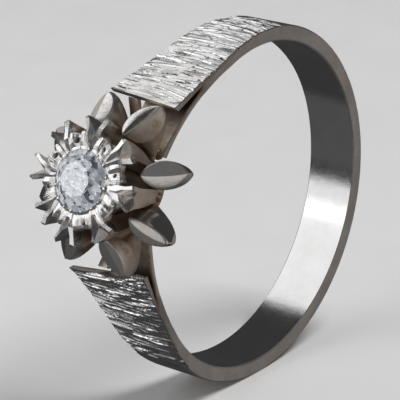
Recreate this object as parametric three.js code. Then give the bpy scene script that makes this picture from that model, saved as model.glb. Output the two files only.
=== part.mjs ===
// Illusion-set engagement ring in 18 ct white gold, with one round brilliant diamond.
//
// The ring stands on its rim. The origin is the middle of the finger hole, +Y is the finger's axis
// and +Z is up. The head points towards -X and is tipped up by DISPLAY_TILT.
//
// Every piece is first made in a head-up frame of its own: +Z is the head's axis, +X points to the
// upper shoulder and +Y is the finger's axis. A group at the end turns that frame into place.
// Two ways of naming a place are used in it:
//   on the hoop, an angle from the head (positive towards the upper shoulder) and a radius;
//   on the head, a height above the finger's axis, a reach from the head's axis and a bearing
//   (0 faces -Y, a quarter turn faces the upper shoulder).
// Millimetres throughout.

import * as THREE from 'three';

const DEGREE = Math.PI / 180;
const QUARTER_TURN = 90 * DEGREE;

// ---------------------------------------------------------------- driving dimensions
const DISPLAY_TILT = 20 * DEGREE; // head's axis above the horizontal
const GAP = 0.02; // between pieces that are soldered face to face

// Hoop
const FINGER_RADIUS = 8.5;
const BAND_RADIUS = 9.3; // plain outer face at the back
const BAND_HALF_WIDTH = 1.42;
const FLARE_START = 88 * DEGREE; // the band is parallel-sided behind this angle
const WAIST_HALF_WIDTH = 1.62; // finger edge where the inner rails begin to narrow
const WAIST_ANGLE = 50 * DEGREE;

// Inner rails, the thin strips that carry on from the hoop to the base ring
const FORK_ANGLE = 37 * DEGREE; // where plate and rail part
const RAIL_END = 11.3 * DEGREE;
const RAIL_END_HALF_WIDTH = 1.12;
const RAIL_THICKNESS = 0.32;
const RAIL_END_THICKNESS = 0.45;
const RAIL_SWELL_ANGLE = 20 * DEGREE; // the rail thickens between here and its end

// Bark-textured shoulder plates
const PLATE_RADIUS = 9.33;
const PLATE_LIFT = 53 * DEGREE; // the outer face runs straight, as a tangent, in front of this angle
const PLATE_TIP = 23.5 * DEGREE;
const PLATE_SLANT_END = 34 * DEGREE; // behind this angle the plate's sections are square again
const PLATE_THICKNESS = 0.4;
const PLATE_HEEL_THICKNESS = 0.16; // at the end that runs out into the plain band
const BARK_RIDGES_PER_DEGREE = 0.55;
const BARK_DEPTH = 0.07;

// The two shoulders were finished by hand and differ a little. barkEnd is where the bark texture
// stops, slant is how far the free end is cut askew at each corner, and strutShift is how far the
// strut's outer end stands behind its root.
const UPPER = { direction: 1, barkEnd: 80 * DEGREE, tipHalfWidth: 2.04, slant: 0.7 * DEGREE, strutShift: 0.5 };
const LOWER = { direction: -1, barkEnd: 66 * DEGREE, tipHalfWidth: 2.32, slant: 1.6 * DEGREE, strutShift: 0.2 };

// Head
const SIDES = 8; // claws, and petals between them
const STEP = (2 * Math.PI) / SIDES;
const HEAD_TURN = -3; // degrees, as the head was soldered on
const CLAW_WANDER = [-1, -2, -1, 0.5, 1.5, 2.5, -2, -2]; // degrees each is bent from its even place
const PETAL_WANDER = [-1, 2.5, -1.5, 0, 0, 1, 4, -1];

const BASE_BOTTOM = 8.6;
const BASE_TOP = 9.15;
const BASE_BORE = 0.86;
const BASE_RADIUS = 1.6;

const CLAW_TIP_HEIGHT = 12.96;
const CLAW_TIP_REACH = 3.06;
const CLAW_FORK_HALF_WIDTH = 0.41;
const CLAW_NOTCH_REACH = 2.58;

const PETAL_INNER = { reach: 2.65, height: 12.0 }; // ends of the ridge along the petal's cut face
const PETAL_OUTER = { reach: 4.42, height: 10.7 };
const PETAL_WIDTH = 1.32;
const PETAL_RIDGE_RISE = 0.15; // ridge above the facets' outer edges at the widest place
const PETAL_FOOT = { reach: 1.82, height: 9.06 };
const PETAL_FOOT_LENGTH = 0.32;
const PETAL_FOOT_WIDTH = 0.5;
const PETAL_BELLY = 0.5; // how far the hull bulges outwards between face and foot

const STAR_LOBE_REACH = 2.14;
const STAR_VALLEY_REACH = 1.94;
const STAR_HOLE = 1.46;
const STAR_BOTTOM = 12.5;
const STAR_TOP = 12.9;

// The tapered collet inside the claws, from the base ring to the underside of the star plate
const SEAT_FOOT_REACH = 1.02;
const SEAT_KNEE_REACH = 1.55;
const SEAT_KNEE_HEIGHT = 10.9;
const SEAT_TOP_REACH = 1.9;
const SEAT_WALL = 0.2;
const SEAT_LEDGE_HEIGHT = 12.15; // underside of the ledge that the stone's pavilion rests in
const SEAT_BORE = 0.93;

const STRUT_HALF_WIDTH = 0.34;
const STRUT_DEPTH = 0.36;
const STRUT_TIP_TOP = 9.88;
const STRUT_ROOT_SHIFT = -0.05;

// Round brilliant, in parts of its diameter
const STONE_DIAMETER = 3.0;
const GIRDLE_HEIGHT = 12.98; // underside of the girdle
const TABLE_SHARE = 0.56;
const STAR_SHARE = 0.74;
const CROWN_SHARE = 0.15;
const PAVILION_SHARE = 0.43;
const GIRDLE_SHARE = 0.025;

// ---------------------------------------------------------------- finishes
const satinGold = { color: 0xb3aba3, roughness: 0.38, metalness: 1 };
const polishedGold = { color: 0xd9d5d0, roughness: 0.14, metalness: 1 };
const barkGold = { color: 0xe4e2e0, roughness: 0.24, metalness: 1 };
const diamond = { color: 0xe9f2fb, roughness: 0.02, metalness: 0 };

// ---------------------------------------------------------------- helpers
const clamp = THREE.MathUtils.clamp;
const mix = THREE.MathUtils.lerp;

/** How far value has come from start (0) to end (1). */
function share(value, start, end) {
  return clamp((value - start) / (end - start), 0, 1);
}

/** A point at an angle from the head, measured round the finger hole. */
function onHoop(angle, radius, y) {
  return new THREE.Vector3(radius * Math.sin(angle), y, radius * Math.cos(angle));
}

/** A point at a height, a reach from the head's axis and a sideways distance, turned to a bearing. */
function onHead(height, reach, sideways, bearing) {
  const x = reach * Math.sin(bearing) + sideways * Math.cos(bearing);
  const y = -reach * Math.cos(bearing) + sideways * Math.sin(bearing);
  return new THREE.Vector3(x, y, height);
}

/** A closed solid skinned over rings of equally many points, its two ends fanned from point 0. */
function loft(rings) {
  const count = rings[0].length;
  const points = rings.flat();
  const lastRing = (rings.length - 1) * count;
  const triangles = [];
  for (let ring = 0; ring < rings.length - 1; ring += 1) {
    for (let side = 0; side < count; side += 1) {
      const a = ring * count + side;
      const b = ring * count + ((side + 1) % count);
      triangles.push([a, b, b + count], [a, b + count, a + count]);
    }
  }
  for (let side = 1; side < count - 1; side += 1) {
    triangles.push([0, side + 1, side]);
    triangles.push([lastRing, lastRing + side, lastRing + side + 1]);
  }
  return solid(points, triangles);
}

/** Geometry from points and triangles, turned so that its faces point outwards. */
function solid(points, triangles) {
  const volume = triangles.reduce((sum, [a, b, c]) => {
    const cross = new THREE.Vector3().crossVectors(points[b], points[c]);
    return sum + points[a].dot(cross);
  }, 0);
  const facing = volume > 0 ? triangles : triangles.map(([a, b, c]) => [a, c, b]);
  const geometry = new THREE.BufferGeometry();
  geometry.setAttribute('position', new THREE.Float32BufferAttribute(points.flatMap((p) => p.toArray()), 3));
  geometry.setIndex(facing.flat());
  geometry.computeVertexNormals();
  return geometry;
}

const ring = new THREE.Group();
ring.rotation.y = DISPLAY_TILT - QUARTER_TURN;

function piece(name, geometry, finish) {
  const mesh = new THREE.Mesh(geometry, new THREE.MeshStandardMaterial(finish));
  mesh.name = name;
  ring.add(mesh);
}

/** Angles from start to end, both kept, no further apart than step. */
function anglesBetween(start, end, step) {
  const parts = Math.ceil(Math.abs(end - start) / step);
  return Array.from({ length: parts + 1 }, (_, i) => mix(start, end, i / parts));
}

// ---------------------------------------------------------------- hoop and inner rails
/** Half the band's width along the finger edge, at an angle from the head. */
function fingerHalfWidth(angle) {
  if (angle > WAIST_ANGLE) {
    return mix(WAIST_HALF_WIDTH, BAND_HALF_WIDTH, share(angle, WAIST_ANGLE, FLARE_START));
  }
  return mix(RAIL_END_HALF_WIDTH, WAIST_HALF_WIDTH, share(angle, RAIL_END, WAIST_ANGLE));
}

/** Half the shoulder plate's width along its outer face. */
function plateHalfWidth(angle, shoulder) {
  return mix(shoulder.tipHalfWidth, BAND_HALF_WIDTH, share(angle, PLATE_TIP, FLARE_START));
}

/** Radius of the shoulder plate's outer face: round at the back, straight towards the head. */
function plateRadius(angle) {
  return PLATE_RADIUS / Math.cos(Math.max(PLATE_LIFT - angle, 0));
}

function plateThickness(angle, shoulder) {
  return mix(PLATE_THICKNESS, PLATE_HEEL_THICKNESS, share(angle, FORK_ANGLE, shoulder.barkEnd));
}

/** Half-width of the side face at a radius between the finger edge and the plate's outer face. */
function sideHalfWidth(angle, radius, shoulder) {
  const outwards = share(radius, FINGER_RADIUS, plateRadius(angle));
  return mix(fingerHalfWidth(angle), plateHalfWidth(angle, shoulder), outwards);
}

function railRadius(angle) {
  const swell = share(angle, RAIL_SWELL_ANGLE, RAIL_END);
  return FINGER_RADIUS + mix(RAIL_THICKNESS, RAIL_END_THICKNESS, swell);
}

/** Sections of one side of the hoop, from the rail's end to the back of the band. */
function hoopHalf(shoulder) {
  const arcStep = 4 * DEGREE;
  const sliver = 0.4 * DEGREE;
  const section = (angle, outerRadius, outerHalfWidth) => {
    const signed = shoulder.direction * angle;
    const inner = fingerHalfWidth(angle);
    return [
      onHoop(signed, FINGER_RADIUS, -inner),
      onHoop(signed, FINGER_RADIUS, inner),
      onHoop(signed, outerRadius, outerHalfWidth),
      onHoop(signed, outerRadius, -outerHalfWidth),
    ];
  };
  const rail = anglesBetween(RAIL_END, FORK_ANGLE - sliver, arcStep).map((angle) =>
    section(angle, railRadius(angle), fingerHalfWidth(angle)));
  const underPlate = anglesBetween(FORK_ANGLE, shoulder.barkEnd, arcStep).map((angle) => {
    const outer = plateRadius(angle) - plateThickness(angle, shoulder) - GAP;
    return section(angle, outer, sideHalfWidth(angle, outer, shoulder));
  });
  const plain = anglesBetween(shoulder.barkEnd + sliver, Math.PI, arcStep).map((angle) =>
    section(angle, BAND_RADIUS, plateHalfWidth(angle, shoulder)));
  return [...rail, ...underPlate, ...plain];
}

function shankHoop() {
  return loft([...hoopHalf(UPPER), ...hoopHalf(LOWER).slice(0, -1).reverse()]);
}

// ---------------------------------------------------------------- bark-textured shoulder plates
/** Depth of the hand-cut gouges at a place on a plate's outer face, from 0 to BARK_DEPTH. */
function barkDepth(angle, side) {
  const along = (angle / DEGREE) * BARK_RIDGES_PER_DEGREE + 0.35 * side;
  const ridge = Math.abs(Math.sin(Math.PI * along));
  const wander = 0.5 + 0.5 * Math.sin(1.7 * along + 2.1 * side);
  return BARK_DEPTH * (0.35 + 0.65 * wander) * (1 - ridge);
}

/** A plate that lies on the hoop behind the fork and stands free of it in front. */
function shoulderPlate(shoulder) {
  const cutStep = 0.9 * DEGREE;
  const sections = anglesBetween(PLATE_TIP, shoulder.barkEnd, cutStep).map((angle) => {
    const outer = plateRadius(angle);
    const inner = outer - plateThickness(angle, shoulder);
    const top = plateHalfWidth(angle, shoulder);
    const bottom = mix(sideHalfWidth(angle, inner, shoulder), top, share(angle, FORK_ANGLE, PLATE_TIP));
    const slant = shoulder.slant * (1 - share(angle, PLATE_TIP, PLATE_SLANT_END));
    const corner = (side, radius, halfWidth) =>
      onHoop(shoulder.direction * (angle + side * slant), radius, side * halfWidth);
    return [
      corner(-1, inner, bottom),
      corner(1, inner, bottom),
      corner(1, outer - barkDepth(angle, 1), top),
      corner(0, outer - barkDepth(angle, 0), 0),
      corner(-1, outer - barkDepth(angle, -1), top),
    ];
  });
  return loft(sections);
}

// ---------------------------------------------------------------- head
function lathe(profile, segments) {
  const closed = [...profile, profile[0]].map(([radius, height]) => new THREE.Vector2(radius, height));
  const geometry = new THREE.LatheGeometry(closed, segments);
  geometry.rotateX(QUARTER_TURN);
  return geometry;
}

/** The ring at the foot of the head, tangent to the finger hole, that claws and petals grow from. */
function baseRing() {
  const chamfer = 0.12;
  return lathe([
    [BASE_BORE, BASE_BOTTOM],
    [BASE_RADIUS - chamfer, BASE_BOTTOM],
    [BASE_RADIUS, BASE_BOTTOM + chamfer],
    [BASE_RADIUS, BASE_TOP],
    [BASE_BORE, BASE_TOP],
  ], 32);
}

/** The tapered tube inside the claws. A ledge at its top carries the stone and the star plate. */
function stoneSeat() {
  const foot = BASE_TOP + GAP;
  const top = STAR_BOTTOM - GAP;
  return lathe([
    [SEAT_FOOT_REACH - SEAT_WALL, foot],
    [SEAT_FOOT_REACH, foot],
    [SEAT_KNEE_REACH, SEAT_KNEE_HEIGHT],
    [SEAT_TOP_REACH, top],
    [SEAT_BORE, top],
    [SEAT_BORE, SEAT_LEDGE_HEIGHT],
    [SEAT_KNEE_REACH - SEAT_WALL, SEAT_LEDGE_HEIGHT - SEAT_WALL],
    [SEAT_KNEE_REACH - SEAT_WALL, SEAT_KNEE_HEIGHT],
  ], 32);
}

/**
 * A fishtail claw. Each ring is one level of it: the notch in its outer face, then its two outer
 * corners with the two inner ones between them.
 */
function claw(bearing) {
  const base = { height: BASE_TOP + GAP, notch: 1.46, outer: 1.57, half: 0.3, inner: 1.06 };
  const knee = { height: 10.9, notch: 2.1, outer: 2.34, half: 0.41, inner: 1.62 };
  const neck = { height: STAR_BOTTOM - 0.05, notch: 2.46, outer: 2.9, half: 0.43, inner: STAR_VALLEY_REACH + 0.05 };
  const top = {
    height: CLAW_TIP_HEIGHT,
    notch: CLAW_NOTCH_REACH,
    outer: CLAW_TIP_REACH,
    half: CLAW_FORK_HALF_WIDTH,
    inner: STAR_VALLEY_REACH + 0.05,
  };
  const rings = [base, knee, neck, top].map(({ height, notch, outer, half, inner }) => [
    onHead(height, notch, 0, bearing),
    onHead(height, outer, half, bearing),
    onHead(height, mix(inner, outer, 0.35), half * 0.8, bearing),
    onHead(height, inner, half * 0.35, bearing),
    onHead(height, inner, -half * 0.35, bearing),
    onHead(height, mix(inner, outer, 0.35), -half * 0.8, bearing),
    onHead(height, outer, -half, bearing),
  ]);
  return loft(rings);
}

/** A boat-shaped petal: a ridged navette face on top of a hull that tapers to the base ring. */
function petal(bearing) {
  const outlineCorners = 14;
  const levels = [0, 0.12, 0.35, 0.6, 0.82, 1];
  const faceLength = Math.hypot(PETAL_OUTER.reach - PETAL_INNER.reach, PETAL_OUTER.height - PETAL_INNER.height);
  const slope = {
    reach: (PETAL_OUTER.reach - PETAL_INNER.reach) / faceLength,
    height: (PETAL_OUTER.height - PETAL_INNER.height) / faceLength,
  };
  const middle = {
    reach: (PETAL_OUTER.reach + PETAL_INNER.reach) / 2,
    height: (PETAL_OUTER.height + PETAL_INNER.height) / 2,
  };
  const rings = levels.map((level) =>
    Array.from({ length: outlineCorners }, (_, corner) => {
      const turn = (2 * Math.PI * corner) / outlineCorners;
      const along = Math.cos(turn);
      const across = Math.sign(Math.sin(turn)) * Math.sin(turn) ** 2;
      const length = mix(faceLength, PETAL_FOOT_LENGTH, level) / 2;
      const halfWidth = mix(PETAL_WIDTH, PETAL_FOOT_WIDTH, level ** 0.8) / 2;
      const belly = PETAL_BELLY * Math.sin(Math.PI * level ** 0.6) * Math.max(along, 0);
      const dip = mix(PETAL_RIDGE_RISE, 0, level) * Math.abs(across);
      const sideways = mix(across, Math.sin(turn), level) * halfWidth;
      const centre = {
        reach: mix(middle.reach, PETAL_FOOT.reach, level),
        height: mix(middle.height, PETAL_FOOT.height, level),
      };
      const reach = centre.reach + along * length * slope.reach + belly * 0.6 + dip * slope.height;
      const height = centre.height + along * length * slope.height - belly * 0.75 - dip * slope.reach;
      return onHead(height, reach, sideways, bearing);
    }));
  return loft(rings);
}

/** The star-cut illusion plate round the stone: flat-ended lobes between the claws. */
function starPlate() {
  const outline = new THREE.Shape();
  for (let side = 0; side < SIDES; side += 1) {
    const claws = side * STEP - QUARTER_TURN + HEAD_TURN * DEGREE;
    const corners = [
      [STAR_VALLEY_REACH, claws],
      [STAR_LOBE_REACH, claws + 0.34 * STEP],
      [STAR_LOBE_REACH, claws + 0.66 * STEP],
    ];
    corners.forEach(([reach, turn], index) => {
      const place = [reach * Math.cos(turn), reach * Math.sin(turn)];
      if (side === 0 && index === 0) outline.moveTo(...place);
      else outline.lineTo(...place);
    });
  }
  outline.closePath();
  outline.holes.push(new THREE.Path().absarc(0, 0, STAR_HOLE, 0, 2 * Math.PI, true));
  const geometry = new THREE.ExtrudeGeometry(outline, {
    depth: STAR_TOP - STAR_BOTTOM,
    bevelEnabled: false,
    curveSegments: 16,
  });
  geometry.translate(0, 0, STAR_BOTTOM);
  return geometry;
}

/** A short bar that ties the base ring to a shoulder plate's free end. */
function shoulderStrut(shoulder) {
  const rootReach = BASE_RADIUS + GAP;
  const rootTop = BASE_TOP - GAP;
  const tipReach = plateRadius(PLATE_TIP) * Math.sin(PLATE_TIP - shoulder.slant) - 2 * GAP;
  const end = (reach, top, shift) => [
    new THREE.Vector3(shoulder.direction * reach, shift - STRUT_HALF_WIDTH, top),
    new THREE.Vector3(shoulder.direction * reach, shift + STRUT_HALF_WIDTH, top),
    new THREE.Vector3(shoulder.direction * reach, shift + STRUT_HALF_WIDTH, top - STRUT_DEPTH),
    new THREE.Vector3(shoulder.direction * reach, shift - STRUT_HALF_WIDTH, top - STRUT_DEPTH),
  ];
  return loft([end(rootReach, rootTop, STRUT_ROOT_SHIFT), end(tipReach, STRUT_TIP_TOP, shoulder.strutShift)]);
}

/** A 57-facet round brilliant: table, stars, kites, upper and lower girdle facets, pavilion mains. */
function brilliant() {
  const radius = STONE_DIAMETER / 2;
  const girdleTop = GIRDLE_HEIGHT + GIRDLE_SHARE * STONE_DIAMETER;
  const tableHeight = girdleTop + CROWN_SHARE * STONE_DIAMETER;
  const starHeight = mix(tableHeight, girdleTop, 0.5);
  const culetHeight = GIRDLE_HEIGHT - PAVILION_SHARE * STONE_DIAMETER;
  const lowerHeight = mix(GIRDLE_HEIGHT, culetHeight, 0.8);
  const circle = (count, reach, height, turn) =>
    Array.from({ length: count }, (_, i) => onHead(height, reach, 0, ((i + turn) * 2 * Math.PI) / count));
  const table = circle(8, radius * TABLE_SHARE, tableHeight, 0);
  const stars = circle(8, radius * STAR_SHARE, starHeight, 0.5);
  const upper = circle(16, radius, girdleTop, 0);
  const lower = circle(16, radius, GIRDLE_HEIGHT, 0);
  const mains = circle(8, radius * 0.2, lowerHeight, 0.5);
  const points = [...table, ...stars, ...upper, ...lower, ...mains, onHead(culetHeight, 0, 0, 0)];
  const first = { table: 0, stars: 8, upper: 16, lower: 32, mains: 48, culet: 56 };
  const triangles = [];
  for (let i = 0; i < 8; i += 1) {
    const next = (i + 1) % 8;
    const girdle = 2 * i;
    const girdleMid = girdle + 1;
    const girdleNext = (girdle + 2) % 16;
    const before = (i + 7) % 8;
    if (i > 1) triangles.push([first.table, first.table + i - 1, first.table + i]);
    triangles.push([first.table + i, first.stars + i, first.table + next]);
    triangles.push([first.table + i, first.stars + before, first.upper + girdle]);
    triangles.push([first.table + i, first.upper + girdle, first.stars + i]);
    triangles.push([first.stars + i, first.upper + girdle, first.upper + girdleMid]);
    triangles.push([first.stars + i, first.upper + girdleMid, first.upper + girdleNext]);
    for (const [a, b] of [[girdle, girdleMid], [girdleMid, girdleNext]]) {
      triangles.push([first.upper + a, first.lower + a, first.lower + b]);
      triangles.push([first.upper + a, first.lower + b, first.upper + b]);
    }
    triangles.push([first.lower + girdle, first.mains + i, first.lower + girdleMid]);
    triangles.push([first.lower + girdleMid, first.mains + i, first.lower + girdleNext]);
    triangles.push([first.lower + girdle, first.mains + before, first.mains + i]);
    triangles.push([first.mains + i, first.mains + before, first.culet]);
  }
  return solid(points, triangles);
}

// ---------------------------------------------------------------- the ring
piece('shank_hoop', shankHoop(), satinGold);
piece('shoulder_plate_upper', shoulderPlate(UPPER), barkGold);
piece('shoulder_plate_lower', shoulderPlate(LOWER), barkGold);
piece('shoulder_strut_upper', shoulderStrut(UPPER), satinGold);
piece('shoulder_strut_lower', shoulderStrut(LOWER), satinGold);
piece('base_ring', baseRing(), satinGold);
piece('stone_seat', stoneSeat(), satinGold);
piece('star_plate', starPlate(), polishedGold);
for (let side = 0; side < SIDES; side += 1) {
  const clawBearing = side * STEP + (HEAD_TURN + CLAW_WANDER[side]) * DEGREE;
  const petalBearing = (side + 0.5) * STEP + (HEAD_TURN + PETAL_WANDER[side]) * DEGREE;
  piece(`claw_${side + 1}`, claw(clawBearing), polishedGold);
  piece(`petal_${side + 1}`, petal(petalBearing), satinGold);
}
piece('diamond', brilliant(), diamond);

export default ring;
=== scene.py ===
"""The looks of an illusion-set engagement ring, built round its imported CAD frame.

Shapes are made in the same head-up frame as the CAD: millimetres, +Z the head's axis, +X towards the
upper shoulder, +Y the finger's axis. HEAD_UP turns that frame into place and MM brings it to metres.
A place on the hoop is an angle from the head and a radius. A place on the head is a height above the
finger's axis, a reach from the head's axis, a sideways distance and a bearing (0 faces -Y).
"""

import math
import random

import bmesh
import bpy
import numpy as np
from mathutils import Matrix, Vector


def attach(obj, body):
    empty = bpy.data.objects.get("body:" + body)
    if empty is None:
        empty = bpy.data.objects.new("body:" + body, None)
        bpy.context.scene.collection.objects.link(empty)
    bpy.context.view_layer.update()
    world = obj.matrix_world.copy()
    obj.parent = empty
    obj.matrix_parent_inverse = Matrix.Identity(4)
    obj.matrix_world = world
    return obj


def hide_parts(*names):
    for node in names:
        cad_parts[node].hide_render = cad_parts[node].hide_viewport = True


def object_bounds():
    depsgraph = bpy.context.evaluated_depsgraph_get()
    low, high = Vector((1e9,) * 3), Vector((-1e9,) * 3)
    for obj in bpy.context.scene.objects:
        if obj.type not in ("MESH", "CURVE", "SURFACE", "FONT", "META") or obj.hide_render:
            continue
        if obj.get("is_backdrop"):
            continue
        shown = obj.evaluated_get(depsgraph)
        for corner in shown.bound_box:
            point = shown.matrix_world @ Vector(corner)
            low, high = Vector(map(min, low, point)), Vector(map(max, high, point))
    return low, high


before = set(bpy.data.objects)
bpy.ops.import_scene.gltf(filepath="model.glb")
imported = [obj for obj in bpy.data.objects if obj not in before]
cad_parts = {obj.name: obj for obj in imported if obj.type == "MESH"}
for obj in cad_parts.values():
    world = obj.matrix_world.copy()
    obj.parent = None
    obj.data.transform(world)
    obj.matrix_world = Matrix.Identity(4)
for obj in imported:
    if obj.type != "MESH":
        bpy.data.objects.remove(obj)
cad_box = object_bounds()

MM = 0.001
DEGREE = math.pi / 180
TURN = 2 * math.pi

# ---------------- dimensions shared with the CAD
DISPLAY_TILT = 20 * DEGREE
HEAD_UP = Matrix.Rotation(DISPLAY_TILT - 90 * DEGREE, 3, "Y")

FINGER_RADIUS = 8.5
BAND_RADIUS = 9.3
BAND_HALF_WIDTH = 1.42
FLARE_START = 88 * DEGREE
WAIST_HALF_WIDTH = 1.62
WAIST_ANGLE = 50 * DEGREE

FORK_ANGLE = 37 * DEGREE
RAIL_END = 11.3 * DEGREE
RAIL_END_HALF_WIDTH = 1.12
RAIL_THICKNESS = 0.32
RAIL_END_THICKNESS = 0.45
RAIL_SWELL_ANGLE = 20 * DEGREE

PLATE_RADIUS = 9.33
PLATE_LIFT = 53 * DEGREE
PLATE_TIP = 23.5 * DEGREE
PLATE_SLANT_END = 34 * DEGREE
PLATE_THICKNESS = 0.4
PLATE_HEEL_THICKNESS = 0.16
UPPER = {
    "name": "upper", "direction": 1, "bark_end": 80 * DEGREE, "tip_half_width": 2.04,
    "slant": 0.7 * DEGREE, "strut_shift": 0.5, "seed": 11, "deep_cuts": 10,
}
LOWER = {
    "name": "lower", "direction": -1, "bark_end": 66 * DEGREE, "tip_half_width": 2.32,
    "slant": 1.6 * DEGREE, "strut_shift": 0.2, "seed": 23, "deep_cuts": 5,
}

SIDES = 8
BASE_BOTTOM = 8.6
BASE_TOP = 9.15
BASE_BORE = 0.86
BASE_RADIUS = 1.6
PETAL_INNER = (2.65, 12.0)  # reach and height of the ridge's ends
PETAL_OUTER = (4.42, 10.7)
PETAL_FOOT = (1.82, 9.06)
PETAL_WIDTH = 1.32
PETAL_FOOT_LENGTH = 0.32
PETAL_FOOT_WIDTH = 0.5
STAR_HOLE = 1.46
STAR_BOTTOM = 12.5
SEAT_FOOT_REACH = 1.02
SEAT_FLARE = (1.26, 9.95)  # reach and height of a place on the wall below the knee
SEAT_KNEE_REACH = 1.55
SEAT_KNEE_HEIGHT = 10.9
SEAT_SHOULDER = (1.74, 11.7)  # and of one above it
SEAT_TOP_REACH = 1.9
SEAT_WALL = 0.2
SEAT_LEDGE_HEIGHT = 12.15
SEAT_BORE = 0.93
STRUT_HALF_WIDTH = 0.34
STRUT_DEPTH = 0.36
STRUT_TIP_TOP = 9.88
STRUT_ROOT_SHIFT = -0.05
STONE_RADIUS = 1.5
GIRDLE_HEIGHT = 12.98
GIRDLE_THICKNESS = 0.075

# ---------------- finish of the visible shapes
EDGE_CHAMFER = 0.07  # polished break along the band's edges
SIDE_CROWN = 0.02  # how far the band's side faces swell
PETAL_RIDGE_RISE = 0.15
PETAL_RIM = 0.06  # radius of the rounded rim round each petal's face
PETAL_BELLY = 0.5
BELLY_OUT, BELLY_DOWN = 0.6, 0.75  # how much of the belly's swell goes outwards, and how much down
PETAL_SWELL = 0.1  # how much wider the hull grows halfway down
PETAL_ROUNDNESS = 1.3  # 1 is an ellipse, 2 is sharp at both ends
PETAL_SCOOP = 0.012  # how deep each facet is hollowed
SHOULDER_SLOPE = 0.75
PETAL_CORNERS = 56
FACE_SHARES = [0.0, 0.5, 1.0]  # rings of the face: ridge, facet middle, facet edge
RIM_LEANS = (30 * DEGREE, 78 * DEGREE, 16 * DEGREE)  # first, last and step of the rim's rounding
HULL_LEVELS = [0.0, 0.03, 0.08, 0.15, 0.24, 0.34, 0.45, 0.57, 0.69, 0.8, 0.9, 1.0]
POLISHED_LEVELS = 4  # how many rings of the hull a polished shoulder takes in
# Where each petal's face was cut, in mm to either side: ridge, low edge, high edge; and its belly.
PETAL_CUTS = {
    1: ((-0.10, -0.66, 0.66), 1.0),
    2: ((0.22, -0.10, 0.66), 1.0),
    3: ((0.05, -0.60, 0.60), 1.0),
    4: ((0.00, -0.62, 0.62), 1.0),
    5: ((0.03, -0.62, 0.60), 1.0),
    6: ((0.00, -0.60, 0.62), 1.0),
    7: ((0.00, -0.66, 0.34), 1.3),
    8: ((-0.24, -0.66, 0.20), 1.05),
}
POLISHED_SHOULDER = 8  # the petal whose shoulder was polished with its face
SHALLOW_FACET = 2  # the petal whose narrow facet was cut flatter
SHALLOW_STEEPNESS = 0.45
FORK_FILLET = 3.2 * DEGREE  # how far the fillet at the fork's root runs
HEEL_RUN = 0.8 * DEGREE  # how far the band rises to each side of the plate's heel
COVERED_CHAMFER = 0.004
PLATE_COLUMNS = 76
PLATE_ROW_STEP = 0.22 * DEGREE
PLATE_CHAMFER = 0.035
PLATE_UNDERCUT = 0.05  # the shaded part of the underside stops this short of its sides
BARK_DEPTH = 0.11
GOUGE_SPACING = 0.27
GOUGE_HALF_WIDTH = 0.18
PLATE_CROWN = 0.09  # how far the plates' far and near edges fall away
GAP_SHADE_ANGLES = (21.3 * DEGREE, 28.3 * DEGREE)  # painted shade on the rail's outer face grows between these angles
LOBE_REACH = 2.3
LOBE_COLUMNS, LOBE_ROWS = 64, 30
LATHE_SIDES = 96
# Drilled pits in the star plate's lobes: share of the way across the lobe, reach and radius
LOBE_PITS = [(0.5, 1.98, 0.09), (0.42, 1.92, 0.13), (0.56, 1.90, 0.14), (0.5, 1.95, 0.13),
             (0.46, 1.98, 0.10), (0.5, 2.0, 0.07), (0.55, 1.98, 0.08), (0.5, 2.0, 0.07)]
LOBE_PIT_DEPTH = 0.3
LOBE_EDGE_FALL = 0.1
LOBE_SCRATCH = 0.006
# Grain beads for each claw: share of the way to the next claw, and radius
GRAIN_BEADS = [(0.0, 0.12), (0.47, 0.085), (0.22, 0.05)]
# Solder at each claw's and petal's foot: reach and radius. Then at the rails' ends.
FOOT_BEADS = {"claw": (1.56, 0.24), "petal": (1.84, 0.26)}
RAIL_BEAD_PLACES, RAIL_BEAD_RADII = (-0.75, 0.0, 0.75), (0.34, 0.34, 0.2)
# Burnished beads at the lower plate's near front corner: place across the plate, and radius
CORNER_BEADS = [(-2.2, 0.13), (-1.98, 0.17), (-1.72, 0.12)]
STRUT_FIT = 0.98  # how much of its CAD section a strut fills
STRUT_SQUARENESS = 0.4  # 0 is an ellipse, 1 a rectangle
# Shares of the stone's diameter: crown height and pavilion depth
CROWN_HEIGHT, PAVILION_DEPTH = 0.15, 0.43
# Shares of the stone's radius: table, star facets' points and lower girdle facets' points
TABLE_REACH, STAR_REACH, LOWER_REACH = 0.56, 0.78, 0.22
LOWER_DEPTH = 0.8  # share of the pavilion's depth that the lower girdle facets run
# Where the tan tint of old polish and solder, with painted shade under the plate, fades out: heights and
# reaches round the foot and under the plate
FOOT_TINT_HEIGHTS, FOOT_TINT_REACHES = (9.2, 11.6), (1.9, 3.4)
TOP_TINT_HEIGHTS, TOP_TINT_REACHES = (11.6, 12.8), (1.5, 2.6)
# Strength of the tint under the plate (partly painted shade) and of the painted shade in the gap
TOP_TINT_AND_SHADE, GAP_PAINTED_SHADE = 0.75, 0.8
# In the gap the painted shade grows with the distance from the finger face, and with that from the plate's
# underside
GAP_SHADE_OVER_RAIL, GAP_SHADE_UNDER_ROOF = (0.12, 0.22), (0.12, 0.02)
HEAD_LOWEST = 7.5
# Tan of solder and old polish, also used for painted shade under the plate and in the gap
TAN_AND_SHADE = (0.56, 0.42, 0.30, 1)
# Painted shade: the dark brown of the bark's cuts, the lobes' pits and the gap under the plates
PAINTED_SHADE_COLOUR = (0.10, 0.085, 0.07, 1)
# Painted reflections of the stone: pale and grey flashes and dark cells
STONE_PALE, STONE_GREY, STONE_DARK = (1.0, 1.0, 1.0, 1), (0.62, 0.68, 0.76, 1), (0.16, 0.18, 0.20, 1)

# ---------------- helpers
def mix(a, b, t):
    return a + (b - a) * t


def share(value, start, end):
    """How far value has come from start (0) to end (1)."""
    return min(max((value - start) / (end - start), 0.0), 1.0)


def ease(t):
    return t * t * (3 - 2 * t)


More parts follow.
